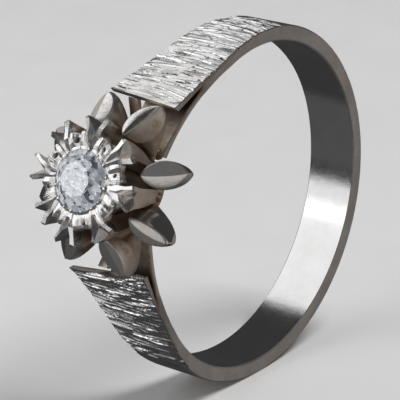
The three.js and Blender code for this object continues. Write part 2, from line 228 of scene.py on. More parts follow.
def along_line(pairs, at):
    """The height at a place of a line through (place, height) pairs."""
    return float(np.interp(at, [place for place, _ in pairs], [height for _, height in pairs]))


def steps(start, end, step):
    """Evenly spaced numbers from start to end, both kept, no further apart than step."""
    return [float(v) for v in np.linspace(start, end, math.ceil(abs(end - start) / step) + 1)]


def on_hoop(angle, radius, y):
    return (radius * math.sin(angle), y, radius * math.cos(angle))


def on_head(height, reach, sideways, bearing):
    x = reach * math.sin(bearing) + sideways * math.cos(bearing)
    y = -reach * math.cos(bearing) + sideways * math.sin(bearing)
    return (x, y, height)


def skin(rings, start_cap=True, end_cap=True, finish=None):
    """Points, faces and one finish number per face for a skin over equally long closed rings.
    finish(ring, side) names the finish of the face after that ring and side."""
    count = len(rings[0])
    points = [point for ring in rings for point in ring]
    faces, finishes = [], []
    for ring in range(len(rings) - 1):
        for side in range(count):
            a, b = ring * count + side, ring * count + (side + 1) % count
            faces.append((a, b, b + count, a + count))
            finishes.append(finish(ring, side) if finish else 0)
    last = (len(rings) - 1) * count
    if start_cap:
        faces.append(tuple(range(count - 1, -1, -1)))
        finishes.append(finish(0, None) if finish else 0)
    if end_cap:
        faces.append(tuple(range(last, last + count)))
        finishes.append(finish(len(rings) - 2, None) if finish else 0)
    return points, faces, finishes


def join(*parts):
    """One (points, faces, finishes) from several."""
    points, faces, finishes = [], [], []
    for part_points, part_faces, part_finishes in parts:
        start = len(points)
        points += part_points
        faces += [tuple(start + i for i in face) for face in part_faces]
        finishes += part_finishes
    return points, faces, finishes


def blob(centre, radii, seed, rough):
    """A lumpy closed grain of metal, as solder or a set bead leaves it."""
    bm = bmesh.new()
    bmesh.ops.create_icosphere(bm, subdivisions=2, radius=1)
    rng = random.Random(seed)
    waves = [(Vector([rng.uniform(-3, 3) for _ in range(3)]), rng.uniform(0, TURN)) for _ in range(4)]
    points = []
    for vertex in bm.verts:
        swell = 1 + rough * sum(math.sin(wave.dot(vertex.co) + phase) for wave, phase in waves) / 2
        points.append(tuple(c + r * swell * v for c, r, v in zip(centre, radii, vertex.co)))
    faces = [tuple(v.index for v in face.verts) for face in bm.faces]
    bm.free()
    return points, faces, [0] * len(faces)


def grime_and_shade_at(point):
    """How much tan tint a place has, partly solder and old polish and partly painted shade: most low down
    inside the head, some as painted shade under the plate, and painted shade in the gap between each rail
    and plate."""
    x, y, z = point
    reach = math.hypot(x, y)
    foot = (1 - share(z, *FOOT_TINT_HEIGHTS)) * (1 - share(reach, *FOOT_TINT_REACHES))
    angle = math.atan2(abs(x), z)
    gap_start, gap_full = FORK_ANGLE + 1 * DEGREE, FORK_ANGLE - 1 * DEGREE
    if gap_start > angle > RAIL_END:
        radius = math.hypot(x, z)
        over_rail = share(radius - FINGER_RADIUS, *GAP_SHADE_OVER_RAIL)
        under_roof = share(radius - plate_radius(angle) + PLATE_THICKNESS, *GAP_SHADE_UNDER_ROOF)
        # painted shade in the gap between rail and plate, as a tan tint
        return max(foot, GAP_PAINTED_SHADE * (over_rail * under_roof) * share(angle, gap_start, gap_full))
    # tint under the star plate, partly painted shade
    under = (1 - share(z, *TOP_TINT_HEIGHTS)) * (1 - share(reach, *TOP_TINT_REACHES))
    return max(foot, TOP_TINT_AND_SHADE * under) if z > HEAD_LOWEST else 0.0


def add_piece(name, part, materials, stands_for=(), weld=False, sharp=18 * DEGREE, painted_shade=None):
    """Makes the mesh, its shading and its attributes, and ties it to the frame."""
    points, faces, finishes = part
    mesh = bpy.data.meshes.new(name)
    mesh.from_pydata([HEAD_UP @ Vector(point) * MM for point in points], [], faces)
    for material in materials:
        mesh.materials.append(material)
    mesh.polygons.foreach_set("material_index", finishes)
    # tan tint of solder and old polish, partly painted shade under the plate and in the gap
    grime_and_shade = mesh.attributes.new("grime_and_shade", "FLOAT", "POINT")
    grime_and_shade.data.foreach_set("value", [grime_and_shade_at(point) for point in points])
    # painted shade: how dark each point is painted, in cuts, pits and the gap
    depth = mesh.attributes.new("painted_shade", "FLOAT", "POINT")
    depth.data.foreach_set("value", painted_shade if painted_shade else [0.0] * len(points))
    bm = bmesh.new()
    bm.from_mesh(mesh)
    if weld:
        bmesh.ops.remove_doubles(bm, verts=bm.verts, dist=0.002 * MM)
        bmesh.ops.dissolve_degenerate(bm, edges=bm.edges, dist=0.0005 * MM)
    bmesh.ops.recalc_face_normals(bm, faces=bm.faces)
    bm.to_mesh(mesh)
    bm.free()
    if sharp:
        mesh.shade_smooth()
        mesh.set_sharp_from_angle(angle=sharp)
    else:
        mesh.shade_flat()
    piece = bpy.data.objects.new(name, mesh)
    bpy.context.scene.collection.objects.link(piece)
    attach(piece, "root")
    if stands_for:
        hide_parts(*stands_for)
    return piece


def bearing_of(node):
    """The bearing of a claw or petal, read from its CAD solid."""
    corners = {tuple(round(c, 8) for c in vertex.co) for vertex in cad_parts[node].data.vertices}
    middle = HEAD_UP.inverted() @ (sum((Vector(c) for c in corners), Vector()) / len(corners))
    return math.atan2(middle.x, -middle.y)


# ---------------- materials
MIX_FACTOR, MIX_FIRST, MIX_SECOND, MIX_RESULT = 0, 6, 7, 2


class Nodes:
    """A short way to lay out a material's nodes."""

    def __init__(self, name):
        self.material = bpy.data.materials.new(name)
        self.material.use_nodes = True
        self.tree = self.material.node_tree
        self.shader = self.tree.nodes["Principled BSDF"]
        place = self.tree.nodes.new("ShaderNodeTexCoord")
        self.object = self.scaled(place.outputs["Object"], (1 / MM,) * 3)

    def add(self, kind, inputs=None, **settings):
        node = self.tree.nodes.new(kind)
        for key, value in settings.items():
            setattr(node, key, value)
        for key, value in (inputs or {}).items():
            if isinstance(value, bpy.types.NodeSocket):
                self.tree.links.new(value, node.inputs[key])
            else:
                node.inputs[key].default_value = value
        return node

    def scaled(self, vector, scale):
        return self.add("ShaderNodeMapping", {"Vector": vector, "Scale": scale}).outputs[0]

    def noise(self, scale, detail=3.0, rough=0.5, vector=None):
        inputs = {"Vector": vector or self.object, "Scale": scale, "Detail": detail, "Roughness": rough}
        return self.add("ShaderNodeTexNoise", inputs).outputs["Fac"]

    def spread(self, value, low, high, to_low=0.0, to_high=1.0):
        inputs = {"Value": value, "From Min": low, "From Max": high, "To Min": to_low, "To Max": to_high}
        return self.add("ShaderNodeMapRange", inputs).outputs["Result"]

    def attribute(self, name):
        return self.add("ShaderNodeAttribute", attribute_name=name).outputs["Fac"]

    def maths(self, operation, a, b):
        return self.add("ShaderNodeMath", {0: a, 1: b}, operation=operation).outputs[0]

    def colours(self, factor, a, b):
        # In a colour mix, the sockets of this node's other kinds come first.
        inputs = {MIX_FACTOR: factor, MIX_FIRST: a, MIX_SECOND: b}
        return self.add("ShaderNodeMix", inputs, data_type="RGBA").outputs[MIX_RESULT]

    def feed(self, socket, value):
        self.tree.links.new(value, self.shader.inputs[socket])

    def bump(self, height, strength, depth_mm):
        inputs = {"Height": height, "Strength": strength, "Distance": depth_mm * MM}
        self.feed("Normal", self.add("ShaderNodeBump", inputs).outputs["Normal"])


def metal(name, pale, dark, roughness, brushed, dent):
    """White gold: tone and roughness drift over the surface, with fine wear lines, a tan tint (partly
    solder and old polish, partly painted shade) where one point attribute says, and painted shade in
    dark brown where another does. roughness is (least, most). brushed and dent are bump strengths."""
    n = Nodes(name)
    drift = n.spread(n.noise(0.9, 4), 0.35, 0.65)
    body = n.colours(drift, (*pale, 1), (*dark, 1))
    # tan tint, partly solder and old polish, partly painted shade under the plate and in the gap
    patches = n.maths("MULTIPLY", n.attribute("grime_and_shade"), n.spread(n.noise(2.6, 5, 0.6), 0.25, 0.6))
    tinted = n.colours(patches, body, TAN_AND_SHADE)
    # painted shade: darkens towards a dark brown where the point attribute says
    painted_shade = n.spread(n.attribute("painted_shade"), 0.5, 1.0, 0.0, 0.9)
    n.feed("Base Color", n.colours(painted_shade, tinted, PAINTED_SHADE_COLOUR))
    lines = n.noise(1.0, 3, 0.6, n.scaled(n.object, (26.0, 5.0, 26.0)))
    least, most = roughness
    wear = n.spread(n.maths("ADD", n.noise(4.0, 4), n.maths("MULTIPLY", lines, 0.5)), 0.5, 1.0, least, most)
    n.feed("Roughness", n.maths("ADD", wear, n.maths("MULTIPLY", patches, 0.18)))
    pits = n.maths("MULTIPLY", n.spread(n.noise(7.0, 2), 0.62, 0.72), patches)
    height = n.maths("SUBTRACT", n.maths("MULTIPLY", lines, brushed), n.maths("MULTIPLY", pits, 1.5))
    waves = n.maths("MULTIPLY", n.noise(1.6, 2), dent)
    n.bump(n.maths("ADD", height, waves), 1.0, 0.02)
    n.shader.inputs["Metallic"].default_value = 1.0
    return n.material


def diamond_material(name, clear, dark_reflection_share):
    """A lively but slightly hazy stone: partly clear, with painted reflections cell by cell: pale and grey
    flashes and a share of dark cells. Its faint glow, with spots of it as painted glints, stands in for the
    light that a cut stone returns."""
    n = Nodes(name)
    cells = n.add("ShaderNodeTexVoronoi", {"Vector": n.object, "Scale": 4.6, "Randomness": 1.0})
    chances = n.add("ShaderNodeSeparateColor", {"Color": cells.outputs["Color"]}).outputs
    flash = chances[0]
    lively = n.spread(n.maths("ADD", flash, n.maths("MULTIPLY", n.noise(2.2, 3), 0.8)), 0.45, 1.35)
    # painted reflections: pale and grey flashes and dark cells in the stone's colour
    pale = n.colours(lively, STONE_GREY, STONE_PALE)
    open_share = n.spread(chances[1], dark_reflection_share, dark_reflection_share + 0.01)
    n.feed("Base Color", n.colours(open_share, STONE_DARK, pale))
    n.feed("Transmission Weight", n.spread(lively, 0.0, 1.0, clear, clear * 0.5))
    n.bump(n.maths("MULTIPLY", cells.outputs["Distance"], flash), 0.35, 0.12)
    # painted glints: spots of glow
    sparks = n.spread(n.noise(6.5, 2, 0.6), 0.62, 0.7, 0.0, 0.45)
    glow = n.maths("ADD", n.spread(lively, 0.3, 1.0, 0.02, 0.13), sparks)
    n.feed("Emission Strength", n.maths("MULTIPLY", glow, open_share))
    n.shader.inputs["Emission Color"].default_value = (0.80, 0.88, 1.0, 1)
    n.shader.inputs["Roughness"].default_value = 0.03
    n.shader.inputs["IOR"].default_value = 2.417
    return n.material


SATIN = metal("satin_white_gold", (0.71, 0.665, 0.625), (0.59, 0.545, 0.505), (0.26, 0.42), 0.25, 0.5)
CLAW_HULL = metal("stained_white_gold", (0.95, 0.83, 0.72), (0.80, 0.68, 0.57), (0.3, 0.46), 0.3, 0.6)
POLISHED = metal("polished_white_gold", (0.86, 0.84, 0.82), (0.80, 0.78, 0.76), (0.05, 0.13), 0.06, 0.3)
PETAL_FACE = metal("cut_petal_white_gold", (0.86, 0.825, 0.79), (0.78, 0.74, 0.70), (0.1, 0.2), 0.12, 0.35)
BRIGHT_CUT = metal("bright_cut_white_gold", (0.94, 0.925, 0.91), (0.87, 0.85, 0.83), (0.18, 0.34), 0.2, 0.7)
BARK = metal("bark_cut_white_gold", (0.92, 0.91, 0.905), (0.83, 0.82, 0.81), (0.13, 0.28), 0.3, 0.3)
TABLE = diamond_material("diamond_table", 0.3, 0.05)
CROWN = diamond_material("diamond_crown", 0.5, 0.24)
BURNISHED = metal("burnished_edge", (0.97, 0.955, 0.94), (0.90, 0.88, 0.86), (0.36, 0.48), 0.1, 0.2)
SOLDER = metal("solder", (0.92, 0.72, 0.48), (0.66, 0.47, 0.30), (0.22, 0.4), 0.2, 0.9)
FINGER_FACE = metal("finger_face_white_gold", (0.80, 0.785, 0.775), (0.74, 0.725, 0.71), (0.12, 0.2),
                    0.1, 0.3)


# ---------------- hoop and inner rails
def finger_half_width(angle):
    if angle > WAIST_ANGLE:
        return mix(WAIST_HALF_WIDTH, BAND_HALF_WIDTH, share(angle, WAIST_ANGLE, FLARE_START))
    return mix(RAIL_END_HALF_WIDTH, WAIST_HALF_WIDTH, share(angle, RAIL_END, WAIST_ANGLE))


def plate_half_width(angle, shoulder):
    return mix(shoulder["tip_half_width"], BAND_HALF_WIDTH, share(angle, PLATE_TIP, FLARE_START))


def plate_radius(angle):
    return PLATE_RADIUS / math.cos(max(PLATE_LIFT - angle, 0))


def plate_thickness(angle, shoulder):
    return mix(PLATE_THICKNESS, PLATE_HEEL_THICKNESS, share(angle, FORK_ANGLE, shoulder["bark_end"]))


def side_half_width(angle, radius, shoulder):
    outwards = share(radius, FINGER_RADIUS, plate_radius(angle))
    return mix(finger_half_width(angle), plate_half_width(angle, shoulder), outwards)


def hoop_radius(angle, shoulder):
    """Outer radius of the hoop: rail, then a fillet into the fork, then up to the plate or band."""
    swell = share(angle, RAIL_SWELL_ANGLE, RAIL_END)
    rail = FINGER_RADIUS + mix(RAIL_THICKNESS, RAIL_END_THICKNESS, swell)
    under = plate_radius(angle) - plate_thickness(angle, shoulder)
    if angle < FORK_ANGLE:
        return mix(rail, under, ease(share(angle, FORK_ANGLE - FORK_FILLET, FORK_ANGLE)) ** 1.5)
    run_out = ease(share(angle, shoulder["bark_end"] - HEEL_RUN, shoulder["bark_end"] + HEEL_RUN))
    return mix(under, BAND_RADIUS, run_out)


def hoop_section(angle, shoulder):
    """The band's cross-section: finger face, broken edges, slightly crowned sides, outer face."""
    outer = hoop_radius(angle, shoulder)
    inner_half = finger_half_width(angle)
    free = share(angle, FORK_ANGLE, FORK_ANGLE - FORK_FILLET)
    outer_half = mix(side_half_width(angle, outer, shoulder), inner_half, free)
    thick = outer - FINGER_RADIUS
    chamfer = min(EDGE_CHAMFER, 0.22 * thick)
    covered = share(angle, FORK_ANGLE - 1 * DEGREE, FORK_ANGLE)
    covered *= 1 - share(angle, shoulder["bark_end"] - 1 * DEGREE, shoulder["bark_end"])
    outer_chamfer = mix(chamfer, COVERED_CHAMFER, covered)
    low = FINGER_RADIUS + chamfer
    high = outer - outer_chamfer
    middle = (low + high) / 2
    crown = SIDE_CROWN * share(thick, 0.3, 0.8) * (1 - covered)

    def half_at(radius):
        return mix(inner_half, outer_half, (radius - FINGER_RADIUS) / thick)

    side = [
        (FINGER_RADIUS, inner_half - chamfer),
        (low, half_at(low)),
        (middle, half_at(middle) + crown),
        (high, half_at(high)),
        (outer, outer_half - outer_chamfer),
    ]
    signed = shoulder["direction"] * angle
    left = [on_hoop(signed, radius, -half) for radius, half in side]
    right = [on_hoop(signed, radius, half) for radius, half in reversed(side)]
    middle_out = [on_hoop(signed, outer, 0)]
    middle_in = [on_hoop(signed, FINGER_RADIUS, 0)]
    return left + middle_out + right + middle_in


def hoop():
    """The band and its two rails, and the painted shade at each point of the gap under the plates."""
    rings, painted_shade = [], []
    outer_face = (4, 5, 6)
    for shoulder, angles in ((UPPER, hoop_angles(UPPER)), (LOWER, hoop_angles(LOWER)[-2::-1])):
        for angle in angles:
            ring = hoop_section(angle, shoulder)
            rings.append(ring)
            # painted shade on the rail's outer face, in the gap under the plate
            shade = share(angle, FORK_ANGLE + 0.5 * DEGREE, FORK_ANGLE - 1.5 * DEGREE)
            shade *= share(angle, *GAP_SHADE_ANGLES)
            painted_shade += [shade if corner in outer_face else 0.0 for corner in range(len(ring))]
    satin, burnished, finger = 0, 1, 2
    by_side = [burnished, satin, satin, burnished, satin, satin, burnished, satin, satin, burnished,
               finger, finger]
    part = skin(rings, finish=lambda ring, side: satin if side is None else by_side[side])
    return part, painted_shade


def hoop_angles(shoulder):
    """Where the hoop's sections stand, from the rail's end to the back: closer at fork and heel."""
    fork = steps(FORK_ANGLE - FORK_FILLET, FORK_ANGLE, 0.3 * DEGREE)
    end = shoulder["bark_end"]
    heel = steps(end - 1 * DEGREE, end + 1 * DEGREE, 0.25 * DEGREE)
    rail = steps(RAIL_END, fork[0], 1.5 * DEGREE)
    under = steps(fork[-1], heel[0], 1.5 * DEGREE)
    band = steps(heel[-1], math.pi, 1.5 * DEGREE)
    return rail[:-1] + fork[:-1] + under[:-1] + heel[:-1] + band


# ---------------- bark-textured shoulder plates
def gouges(length, half_width, seed, deep_cuts):
    """Hand-cut strokes across a plate: rows of long shallow cuts, and deep_cuts narrow deep ones for
    each mm of its length."""
    rng = random.Random(seed)
    cuts = []
    row = -0.1
    while row < length + 0.2:
        place = -half_width - rng.uniform(0.2, 1.2)
        tilt = rng.gauss(0.0, 0.05)
        while place < half_width:
            long = rng.uniform(0.7, 2.1)
            cuts.append({
                "along": row + rng.gauss(0, 0.04), "across": place + long * 0.8, "half_length": long,
                "half_width": GOUGE_HALF_WIDTH * rng.uniform(0.65, 1.2), "tilt": tilt + rng.gauss(0, 0.04),
                "depth": BARK_DEPTH * rng.uniform(0.3, 0.75), "lean": rng.uniform(-0.6, 0.6), "power": 4,
            })
            place += long * rng.uniform(1.1, 1.6)
        row += GOUGE_SPACING * rng.uniform(0.75, 1.25)
    for _ in range(int(length * deep_cuts)):
        cuts.append({
            "along": rng.uniform(0, length), "across": rng.uniform(-half_width, half_width),
            "half_length": rng.uniform(0.25, 1.2), "half_width": rng.uniform(0.04, 0.085),
            "tilt": rng.gauss(0, 0.07), "depth": BARK_DEPTH * rng.uniform(0.9, 1.4), "lean": 0.0, "power": 2,
        })
    return cuts


def bark_relief(along, across, cuts):
    """Depth below the plate's outer face at each place of a grid."""
    depth = np.zeros_like(along)
    for cut in cuts:
        du = along - cut["along"]
        dv = across - cut["across"]
        p = (du * math.cos(cut["tilt"]) - dv * math.sin(cut["tilt"])) / cut["half_width"]
        q = (du * math.sin(cut["tilt"]) + dv * math.cos(cut["tilt"])) / cut["half_length"]
        shape = (1 - np.abs(p) ** cut["power"]) * (1 - q * q) * (1 + cut["lean"] * p)
        inside = (np.abs(p) < 1) & (np.abs(q) < 1)
        depth = np.maximum(depth, np.where(inside, cut["depth"] * shape, 0))
    return depth


def shoulder_plate(shoulder):
    """A bark-cut plate, row by row from its free end to its heel, and the painted shade at each point: in
    its cuts and on its underside near the fork.
    """
    angles = steps(PLATE_TIP, shoulder["bark_end"], PLATE_ROW_STEP)
    sides = np.linspace(1, -1, PLATE_COLUMNS)
    arc = np.array([(a - PLATE_TIP) * plate_radius(a) for a in angles])
    halves = np.array([plate_half_width(a, shoulder) for a in angles])
    along = np.repeat(arc[:, None], PLATE_COLUMNS, 1)
    across = halves[:, None] * sides[None, :]
    cuts = gouges(float(arc[-1]), shoulder["tip_half_width"], shoulder["seed"], shoulder["deep_cuts"])
    relief = bark_relief(along, across, cuts)
    relief *= 0.35 + 0.65 * np.minimum(along / 0.3, 1)
    rings, painted_shade = [], []
    for row, angle in enumerate(angles):
        outer = plate_radius(angle)
        thick = plate_thickness(angle, shoulder)
        inner = outer - thick
        top = halves[row]
        bottom = mix(side_half_width(angle, inner, shoulder), top, share(angle, FORK_ANGLE, PLATE_TIP))
        slant = shoulder["slant"] * (1 - share(angle, PLATE_TIP, PLATE_SLANT_END))
        heel = 1 - share(angle, shoulder["bark_end"] - 1.2 * DEGREE, shoulder["bark_end"])

        def place(side, radius, half):
            return on_hoop(shoulder["direction"] * (angle + side * slant), radius, side * half)

        edge = outer - PLATE_CHAMFER - PLATE_CROWN / 2
        ring = [
            place(-1, inner, bottom - PLATE_UNDERCUT),
            place(1, inner, bottom - PLATE_UNDERCUT),
            place(1, inner, bottom),
            place(1, edge - relief[row, 0], top),
        ]
        for column, side in enumerate(sides):
            fall = PLATE_CROWN * (side * side - 0.5) + 0.03 * (1 - heel)
            ring.append(place(side, outer - relief[row, column] * heel - fall, top - PLATE_CHAMFER))
        ring += [place(-1, edge - relief[row, -1], top), place(-1, inner, bottom)]
        rings.append(ring)
        # painted shade on the underside near the fork, and in each cut by its depth
        under = share(angle, FORK_ANGLE + 1 * DEGREE, FORK_ANGLE - 2 * DEGREE)
        painted_shade += [under, under, 0.0, 0.0] + [float(v) / BARK_DEPTH for v in relief[row]] + [0.0, 0.0]
    satin, bark = 0, 1
    top_sides = range(3, 3 + PLATE_COLUMNS + 1)
    part = skin(rings, finish=lambda ring, side: bark if side in top_sides else satin)
    return part, painted_shade


# ---------------- head
def lathe(profile, wobble, seed):
    """A turned shape from (reach, height) pairs, slightly out of round."""
    phase = random.Random(seed).uniform(0, TURN)
    rings = []
    for i in range(LATHE_SIDES):
        turn = TURN * i / LATHE_SIDES
        grow = 1 + wobble * math.sin(3 * turn + phase) * math.sin(5 * turn)
        rings.append([on_head(height, reach * grow, 0, turn) for reach, height in profile])
    rings.append(rings[0])
    return skin(rings, start_cap=False, end_cap=False)


def base_ring():
    rounded = [
        (BASE_BORE, BASE_BOTTOM + 0.05), (BASE_BORE + 0.05, BASE_BOTTOM),
        (BASE_RADIUS - 0.14, BASE_BOTTOM), (BASE_RADIUS - 0.04, BASE_BOTTOM + 0.05),
        (BASE_RADIUS, BASE_BOTTOM + 0.16), (BASE_RADIUS, BASE_TOP - 0.1),
        (BASE_RADIUS - 0.05, BASE_TOP), (BASE_BORE + 0.06, BASE_TOP), (BASE_BORE, BASE_TOP - 0.06),
    ]
    return lathe(rounded, 0.006, 3)


def stone_seat():
    """The tapered collet from the base ring to the plate, with a ledge for the stone's pavilion."""
    foot, top = BASE_TOP - 0.02, STAR_BOTTOM
    knee_inside = SEAT_KNEE_REACH - SEAT_WALL
    profile = [
        (SEAT_FOOT_REACH - SEAT_WALL, foot), (SEAT_FOOT_REACH, foot), SEAT_FLARE,
        (SEAT_KNEE_REACH, SEAT_KNEE_HEIGHT), SEAT_SHOULDER, (SEAT_TOP_REACH, top), (SEAT_BORE, top),
        (SEAT_BORE, SEAT_LEDGE_HEIGHT), (knee_inside, SEAT_LEDGE_HEIGHT - SEAT_WALL),
        (knee_inside, SEAT_KNEE_HEIGHT),
    ]
    return lathe(profile, 0.004, 8)


CLAW_LEVELS = [  # height, inner reach, outer reach, half-width
    (BASE_TOP - 0.12, 1.06, 1.57, 0.30),
    (10.0, 1.33, 1.98, 0.36),
    (10.9, 1.62, 2.40, 0.43),
    (11.8, 1.80, 2.72, 0.47),
    (12.4, 1.82, 2.90, 0.50),
]
# The top, from the stone outwards, as (reach, height): groove's floor, crests and outer edges.
CLAW_GROOVE = [(1.46, 13.06), (1.76, 13.10), (2.00, 13.02), (2.20, 13.00), (2.36, 12.92), (2.46, 12.72)]
CLAW_CREST = [(1.46, 13.08), (1.78, 13.13), (2.12, 13.15), (2.52, 13.13), (2.92, 13.07), (3.04, 12.98)]
CLAW_CREST_SIDE = [0.05, 0.10, 0.17, 0.27, 0.42, 0.50]
CLAW_EDGE = [(1.50, 13.02), (1.84, 13.07), (2.14, 13.07), (2.50, 13.05), (2.86, 12.99), (2.94, 12.90)]
CLAW_EDGE_SIDE = [0.13, 0.24, 0.36, 0.47, 0.64, 0.64]
CLAW_FACET_JITTER = 0.03
# How far the end's V runs back at each level of the hull, from the top down
CLAW_NOTCH = [0.2, 0.05, -0.03, -0.04, -0.03]
CLAW_LINE_SIDES = {0: -1.0, 1: -0.85, 2: 0.0, 3: 0.85, 4: 1.0}  # share of the half-width, line by line


def claw(bearing, rng):
    """A fishtail claw: a crested top with a V cut into its end, on a hull that narrows to the base.
    The top is a grid of five lines (edge, crest, groove, crest, edge) by the lines' stations."""
    lift = [rng.gauss(0, 0.03) for _ in range(2)]
    push = [rng.gauss(0, 0.06) for _ in range(2)]
    spread = [rng.gauss(1, 0.1) for _ in range(2)]
    stations = len(CLAW_GROOVE)

    def arm(line, sides, side):
        index = 0 if side < 0 else 1
        for station, ((reach, height), half) in enumerate(zip(line, sides)):
            far = (station / (stations - 1)) ** 2
            jitter = [rng.gauss(0, CLAW_FACET_JITTER) for _ in range(3)]
            yield (height + lift[index] * far + jitter[0], reach + push[index] * far + jitter[1],
                   side * half * mix(1, spread[index], far) + jitter[2])

    left_edge = list(arm(CLAW_EDGE, CLAW_EDGE_SIDE, -1))
    left_crest = list(arm(CLAW_CREST, CLAW_CREST_SIDE, -1))
    groove = [(height, reach, 0.0) for reach, height in CLAW_GROOVE]
    right_crest = list(arm(CLAW_CREST, CLAW_CREST_SIDE, 1))
    right_edge = list(arm(CLAW_EDGE, CLAW_EDGE_SIDE, 1))
    lines = [left_edge, left_crest, groove, right_crest, right_edge]
    points = [on_head(h, r, s, bearing) for line in lines for h, r, s in line]
    faces, finishes = [], []
    for line in range(len(lines) - 1):
        for station in range(stations - 1):
            a, b = line * stations + station, (line + 1) * stations + station
            faces.append((a, a + 1, b + 1, b))
            finishes.append(0)
    # The boundary of the top, walked round, is skinned down to the base.
    end = stations - 1
    walk = [(0, s) for s in range(stations)] + [(line, end) for line in (1, 2, 3)]
    walk += [(4, s) for s in range(end, -1, -1)] + [(line, 0) for line in (3, 2, 1)]
    ring = [line * stations + station for line, station in walk]
    for level, (height, inner, outer, half) in enumerate(reversed(CLAW_LEVELS)):
        start = len(points)
        notch = CLAW_NOTCH[level]
        for line, station in walk:
            _, reach, sideways = lines[line][station]
            out = share(reach, 1.5, 2.96)
            width = mix(0.45, 1.0, out ** 0.7) * half
            across = CLAW_LINE_SIDES[line]
            if station == end:
                out = 1.0
            r = mix(inner, outer, out) - (notch if line == 2 and station == end else 0)
            if line in (1, 3) and station == end:
                r -= 0.35 * notch
                across *= 0.72
            elif station == 0 and line in (1, 3):
                across *= 0.6
            points.append(on_head(height, r, across * width, bearing))
        count = len(walk)
        lower = list(range(start, start + count))
        for i in range(count):
            j = (i + 1) % count
            faces.append((ring[i], ring[j], lower[j], lower[i]))
            finishes.append(0 if level == 0 else 1)
        ring = lower
    faces.append(tuple(ring))
    finishes.append(1)
    return points, faces, finishes


def petal(bearing, cut, belly_scale, polished_shoulder, low_steepness):
    """A boat-shaped petal. Its bright face has two facets that meet in a ridge. Where the face is
    narrower than the hull, a shoulder runs down from it. cut says where, in mm to either side:
    ridge, low edge and high edge. low_steepness scales the fall of the low facet."""
    ridge_at, face_low, face_high = cut
    inner, outer = np.array(PETAL_INNER), np.array(PETAL_OUTER)
    length = float(np.linalg.norm(outer - inner))
    slope = (outer - inner) / length
    middle = (outer + inner) / 2
    full = PETAL_WIDTH / 2
    turns = [TURN * i / PETAL_CORNERS for i in range(PETAL_CORNERS)]
    inset = 1 - PETAL_RIM / (length / 2)
    rim_leans = steps(*RIM_LEANS)

    def at(along, across_mm, level, drop, belly):
        centre = mix(middle, np.array(PETAL_FOOT), level)
        half = mix(length, PETAL_FOOT_LENGTH, level) / 2
        reach = centre[0] + along * half * slope[0] + belly * BELLY_OUT + drop * slope[1]
        height = centre[1] + along * half * slope[1] - belly * BELLY_DOWN - drop * slope[0]
        return on_head(float(height), float(reach), across_mm, bearing)

    def face_edge(turn):
        """(along, taper, edge) of the face's outline. taper falls to 0 at both ends."""
        taper = abs(math.sin(turn)) ** PETAL_ROUNDNESS
        return math.cos(turn), taper, (face_high if math.sin(turn) >= 0 else face_low)

    def facet_drop(across_mm, ridge, edge):
        """How far the face falls from its ridge to a place."""
        drop = PETAL_RIDGE_RISE * abs(across_mm - ridge) / full
        return drop * low_steepness if edge < 0 else drop

    rings = []
    for across_share in FACE_SHARES:
        ring = []
        for turn in turns:
            along, taper, edge = face_edge(turn)
            ridge = ridge_at * taper
            rim = edge - math.copysign(PETAL_RIM, edge)
            across_mm = mix(ridge, rim * taper, across_share)
            scoop = PETAL_SCOOP * math.sin(math.pi * across_share) * taper
            drop = facet_drop(across_mm, ridge, edge) + scoop
            ring.append(at(along * mix(1, inset, across_share), across_mm, 0, drop, 0))
        rings.append(ring)
    for lean in rim_leans:
        ring = []
        for turn in turns:
            along, taper, edge = face_edge(turn)
            out = 1 - (1 - math.sin(lean)) * PETAL_RIM / (length / 2)
            across_mm = (edge - math.copysign(PETAL_RIM * (1 - math.sin(lean)), edge)) * taper
            drop = facet_drop(edge * taper, ridge_at * taper, edge) + PETAL_RIM * (1 - math.cos(lean))
            ring.append(at(along * out, across_mm, 0, drop, 0))
        rings.append(ring)
    for level in HULL_LEVELS:
        ring = []
        for turn in turns:
            along, taper, edge = face_edge(turn)
            side = math.copysign(1, edge)
            spread = ease(share(level, 0, 0.15))
            face = mix(edge, side * full, spread) * taper
            foot = side * PETAL_FOOT_WIDTH / 2 * abs(math.sin(turn))
            across_mm = mix(face, foot, level ** 1.25)
            bulge = PETAL_BELLY * belly_scale * math.sin(math.pi * level ** 0.6) * max(along, 0)
            drop = facet_drop(edge * taper, ridge_at * taper, edge) * (1 - level)
            drop += PETAL_RIM * (1 - share(level, 0, 0.2))
            drop += SHOULDER_SLOPE * (full - abs(edge)) * taper * spread * (1 - level)
            swell = 1 + PETAL_SWELL * math.sin(math.pi * level) * belly_scale
            ring.append(at(along, across_mm * swell, level, drop, bulge))
        rings.append(ring)

    face_rings = len(FACE_SHARES) - 1
    hull_start = len(FACE_SHARES) + len(rim_leans)
    face, satin, polished, burnished = 0, 1, 2, 3

    def finish(ring, side):
        if ring < hull_start:
            return face if ring < face_rings else burnished
        on_high_side = side is not None and side < PETAL_CORNERS / 2
        shoulder = on_high_side and ring < hull_start + POLISHED_LEVELS
        return polished if polished_shoulder and shoulder else satin

    return skin(rings, start_cap=False, finish=finish)


# The star plate's section through a lobe: share of the way out from the stone, and height.
LOBE_PROFILE = [(0.0, 13.09), (0.16, 13.03), (0.42, 13.08), (0.74, 13.07), (1.0, 13.0)]


